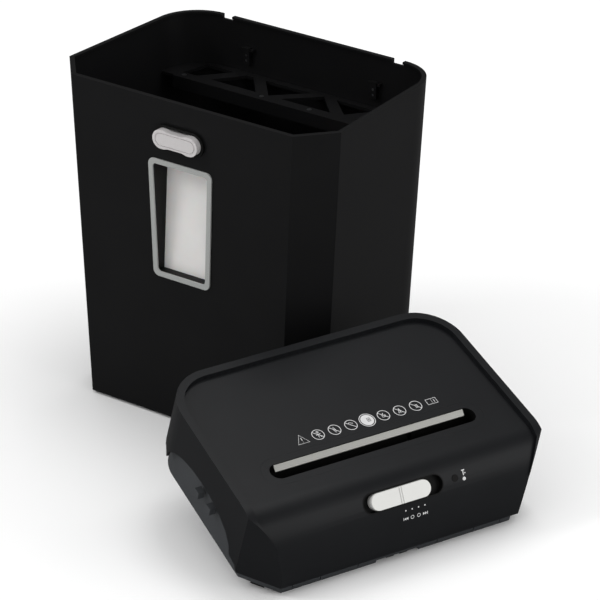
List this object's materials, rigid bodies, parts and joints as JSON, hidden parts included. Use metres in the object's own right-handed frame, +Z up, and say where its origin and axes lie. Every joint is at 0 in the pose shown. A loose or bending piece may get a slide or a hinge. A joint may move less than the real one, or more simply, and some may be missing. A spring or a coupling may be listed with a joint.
{
  "type": "paper shredder",
  "caption": "Tall chamfered waste bin with a window and push catch, and its lift-off cutting head lying in front of it, with a feed slot, sliding switch and geared cutters.",
  "frame": {"origin": "centre of the bin's base on the floor, midway between its sides", "axes": "+Z up, the bin's front faces -Y, +X to its right seen from above with the front towards the viewer"},
  "size_m": [0.5625, 0.4713, 0.352],
  "materials": {
    "black_abs": "moulded, fine satin texture",
    "head_abs": "moulded, satin",
    "skirt_abs": "moulded, satin",
    "grey_trim": "moulded, painted silver-grey",
    "dark_liner": "moulded, matte",
    "clear_pane": "translucent light grey sheet",
    "silver_catch": "silver painted",
    "knob_grey": "light grey, satin",
    "silver_strip": "satin aluminium strip",
    "lens_dark": "dark tinted lens",
    "lamp_red": "clear red",
    "steel_plate": "rolled sheet",
    "cutter_steel": "hardened and ground",
    "gear_steel": "machined",
    "bronze": "oiled bronze",
    "nylon_white": "natural nylon",
    "comb_abs": "natural acetal",
    "screw_steel": "zinc plated",
    "can_steel": "zinc plated can",
    "copper_rotor": "wound rotor",
    "rubber_foot": "moulded",
    "board_green": "solder mask",
    "part_dark": "moulded",
    "sleeve_blue": "sleeve",
    "switch_blue": "moulded",
    "spring_steel": "drawn wire"
  },
  "bodies": {
    "bin": {"bin_shell": "black_abs", "window_frame": "grey_trim", "window_liner": "dark_liner", "window_pane": "clear_pane", "rear_shelf": "black_abs", "shelf_screws": "screw_steel", "rear_clips": "black_abs", "clip_screws": "screw_steel", "catch_base": "dark_liner", "bin_feet": "rubber_foot"},
    "catch": {"catch_button": "silver_catch", "catch_spring": "spring_steel"},
    "carry_foot": {"front_foot": "rubber_foot"},
    "carry_rod": {"front_tie_rod": "steel_plate"},
    "head": {"head_cover": "head_abs", "lower_housing": "skirt_abs", "housing_screws": "screw_steel", "side_clips": "dark_liner", "front_clip": "dark_liner", "slot_insert": "dark_liner", "slot_strip": "silver_strip", "switch_bezel": "dark_liner", "switch_body": "switch_blue", "indicator_lens": "lens_dark", "indicator_lamp": "lamp_red", "left_frame": "steel_plate", "right_frame": "steel_plate", "tie_rods": "steel_plate", "cutter_bushes": "bronze", "front_comb": "comb_abs", "rear_comb": "comb_abs", "gear_pins": "screw_steel", "gear_clips": "spring_steel", "motor_can": "can_steel", "motor_end_caps": "can_steel", "motor_cradle": "part_dark", "thermal_cutout": "part_dark", "capacitor": "sleeve_blue", "circuit_board": "board_green", "board_parts": "part_dark", "lever_bracket": "dark_liner", "interlock_switch": "part_dark", "cord_gland": "dark_liner"},
    "switch": {"switch_knob": "knob_grey"},
    "front_cutters": {"front_cutter": "cutter_steel", "front_sync_gear": "gear_steel"},
    "rear_cutters": {"rear_cutter": "cutter_steel", "rear_sync_gear": "gear_steel", "drive_gear": "gear_steel"},
    "second_stage": {"second_gear": "nylon_white"},
    "first_stage": {"first_gear": "nylon_white"},
    "motor": {"motor_rotor": "copper_rotor", "motor_pinion": "bronze"},
    "paper_sensor": {"paper_lever": "dark_liner"},
    "interlock": {"interlock_plunger": "nylon_white"}
  },
  "joints": [
    {"name": "catch_press", "type": "slide", "parent": "bin", "child": "catch", "axis": [0, 1, 0], "range_m": [0, 0.004], "stiffness_N_per_m": 400},
    {"name": "carry_turn", "type": "hinge", "parent": "bin", "child": "carry_foot", "pos_m": [0, -0.074, 0.003], "axis": [0, 0, 1], "range_deg": [-68.05, 0.05]},
    {"name": "carry_swing", "type": "hinge", "parent": "carry_foot", "child": "carry_rod", "pos_m": [0.30198, -0.19601, 0.3554], "axis": [-0.3746, -0.9272, 0], "range_deg": [0, 270]},
    {"name": "carry_level", "type": "hinge", "parent": "carry_rod", "child": "head", "pos_m": [0.30198, -0.19601, 0.0257], "axis": [0.3746, 0.9272, 0], "range_deg": [-0.05, 250.1]},
    {"name": "switch_slide", "type": "slide", "parent": "head", "child": "switch", "axis": [0.3746, 0.9272, 0], "range_m": [-0.0072, 0.0144]},
    {"name": "rear_cutter_spin", "type": "hinge", "parent": "head", "child": "rear_cutters", "pos_m": [0.25923, -0.17874, 0.05839], "axis": [0.3746, 0.9272, 0], "continuous": true},
    {"name": "front_cutter_spin", "type": "hinge", "parent": "head", "child": "front_cutters", "pos_m": [0.2845, -0.18895, 0.0485], "axis": [0.3746, 0.9272, 0], "continuous": true},
    {"name": "second_gear_spin", "type": "hinge", "parent": "head", "child": "second_stage", "pos_m": [0.23526, -0.16905, 0.07665], "axis": [0.3746, 0.9272, 0], "continuous": true},
    {"name": "first_gear_spin", "type": "hinge", "parent": "head", "child": "first_stage", "pos_m": [0.20968, -0.15871, 0.07843], "axis": [0.3746, 0.9272, 0], "continuous": true},
    {"name": "motor_spin", "type": "hinge", "parent": "head", "child": "motor", "pos_m": [0.19059, -0.151, 0.06398], "axis": [0.3746, 0.9272, 0], "continuous": true},
    {"name": "paper_lever_turn", "type": "hinge", "parent": "head", "child": "paper_sensor", "pos_m": [0.28442, -0.14038, 0.09343], "axis": [0.3746, 0.9272, 0], "range_deg": [0, 22], "stiffness_Nm_per_rad": 0.02, "springref_deg": -17.19},
    {"name": "interlock_press", "type": "slide", "parent": "head", "child": "interlock", "axis": [0.8716, -0.3521, -0.3411], "range_m": [0, 0.004], "stiffness_N_per_m": 150, "springref_m": -0.004}
  ],
  "couplings": [
    {"joint": "carry_turn", "follows": "carry_swing", "ratio": -0.25185},
    {"joint": "carry_level", "follows": "carry_swing", "ratio": 0.92613},
    {"joint": "front_cutter_spin", "follows": "rear_cutter_spin", "ratio": -1},
    {"joint": "second_gear_spin", "follows": "rear_cutter_spin", "ratio": -2.5},
    {"joint": "first_gear_spin", "follows": "rear_cutter_spin", "ratio": 6.6667},
    {"joint": "motor_spin", "follows": "rear_cutter_spin", "ratio": -26.667}
  ]
}
